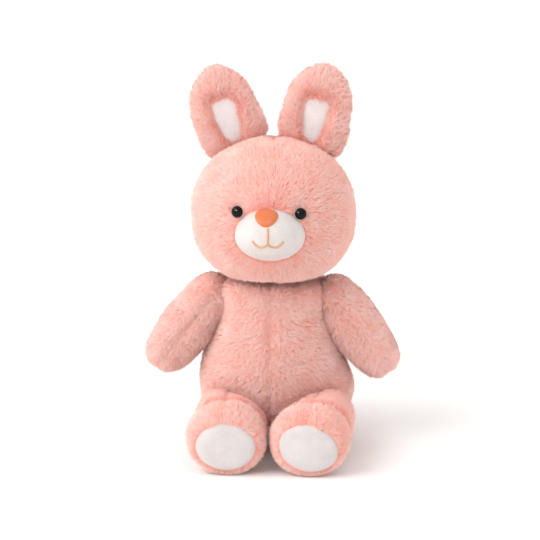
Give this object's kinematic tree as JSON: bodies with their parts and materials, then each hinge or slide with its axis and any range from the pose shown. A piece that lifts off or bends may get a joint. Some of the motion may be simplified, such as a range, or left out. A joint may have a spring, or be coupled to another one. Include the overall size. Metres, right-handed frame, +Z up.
{
  "type": "plush rabbit toy",
  "caption": "Seated stuffed plush rabbit with sewn fabric panels, stuffing, round limbs, upright ears, padded muzzle and flat soles; head, ears, arms and legs turn.",
  "frame": {"origin": "middle of the flat seat under the body, on the surface it sits on", "axes": "+Z up; the rabbit faces -Y; +X is the right side as seen from the front"},
  "size_m": [0.2192, 0.2088, 0.3289],
  "materials": {
    "pink_plush": "matt",
    "lining_plush": "matt",
    "sole_plush": "matt",
    "muzzle_plush": "matt",
    "tail_plush": "matt",
    "polyester_wadding": "matt",
    "bag_cotton": "matt",
    "nose_satin": "satin",
    "mouth_thread": "satin",
    "closing_thread": "satin",
    "label_tape": "satin",
    "eye_plastic": "polished",
    "washer_plastic": "matt"
  },
  "bodies": {
    "torso": {"body_back_left": "pink_plush", "body_back_right": "pink_plush", "body_front_left": "pink_plush", "body_front_right": "pink_plush", "body_stuffing": "polyester_wadding", "care_label": "label_tape", "closing_stitch": "closing_thread", "pellet_bag": "bag_cotton", "seat_panel": "pink_plush", "tail_cover": "tail_plush", "tail_stuffing": "polyester_wadding"},
    "neck": {"neck_wadding": "polyester_wadding"},
    "head": {"eye_left": "eye_plastic", "eye_left_washer": "washer_plastic", "eye_right": "eye_plastic", "eye_right_washer": "washer_plastic", "head_back_left": "pink_plush", "head_back_right": "pink_plush", "head_front_left": "pink_plush", "head_front_right": "pink_plush", "head_stuffing": "polyester_wadding", "mouth_stitch": "mouth_thread", "muzzle_cover": "muzzle_plush", "muzzle_wadding": "polyester_wadding", "nose": "nose_satin"},
    "ear_left": {"ear_left_back": "pink_plush", "ear_left_lining": "lining_plush", "ear_left_rim": "pink_plush", "ear_left_wadding": "polyester_wadding"},
    "arm_left": {"arm_left_inner": "pink_plush", "arm_left_outer": "pink_plush", "arm_left_stuffing": "polyester_wadding"},
    "leg_left": {"leg_left_inner": "pink_plush", "leg_left_outer": "pink_plush", "leg_left_sole": "sole_plush", "leg_left_stuffing": "polyester_wadding"},
    "ear_right": {"ear_right_back": "pink_plush", "ear_right_lining": "lining_plush", "ear_right_rim": "pink_plush", "ear_right_wadding": "polyester_wadding"},
    "arm_right": {"arm_right_inner": "pink_plush", "arm_right_outer": "pink_plush", "arm_right_stuffing": "polyester_wadding"},
    "leg_right": {"leg_right_inner": "pink_plush", "leg_right_outer": "pink_plush", "leg_right_sole": "sole_plush", "leg_right_stuffing": "polyester_wadding"}
  },
  "joints": [
    {"name": "neck_turn", "type": "hinge", "parent": "torso", "child": "neck", "pos_m": [0, -0.003, 0.203], "axis": [0, 0, 1], "range_deg": [-35, 35]},
    {"name": "neck_nod", "type": "hinge", "parent": "neck", "child": "head", "pos_m": [0, -0.003, 0.203], "axis": [1, 0, 0], "range_deg": [-14, 14], "stiffness_Nm_per_rad": 1.5},
    {"name": "ear_left_fold", "type": "hinge", "parent": "head", "child": "ear_left", "pos_m": [-0.031, 0.006, 0.2595], "axis": [0.9483, 0, 0.3173], "range_deg": [-25, 35], "stiffness_Nm_per_rad": 0.2},
    {"name": "arm_left_raise", "type": "hinge", "parent": "torso", "child": "arm_left", "pos_m": [-0.0535, -0.001, 0.125], "axis": [0, 1, 0], "range_deg": [0, 60], "stiffness_Nm_per_rad": 0.3},
    {"name": "leg_left_swing", "type": "hinge", "parent": "torso", "child": "leg_left", "pos_m": [-0.0375, -0.037, 0.0305], "axis": [1, 0, 0], "range_deg": [-25, 40], "stiffness_Nm_per_rad": 0.8},
    {"name": "ear_right_fold", "type": "hinge", "parent": "head", "child": "ear_right", "pos_m": [0.031, 0.006, 0.2595], "axis": [0.9799, 0, -0.1994], "range_deg": [-25, 35], "stiffness_Nm_per_rad": 0.2},
    {"name": "arm_right_raise", "type": "hinge", "parent": "torso", "child": "arm_right", "pos_m": [0.0535, -0.001, 0.125], "axis": [0, -1, 0], "range_deg": [0, 60], "stiffness_Nm_per_rad": 0.3},
    {"name": "leg_right_swing", "type": "hinge", "parent": "torso", "child": "leg_right", "pos_m": [0.043, -0.037, 0.0305], "axis": [1, 0, 0], "range_deg": [-25, 40], "stiffness_Nm_per_rad": 0.8}
  ]
}
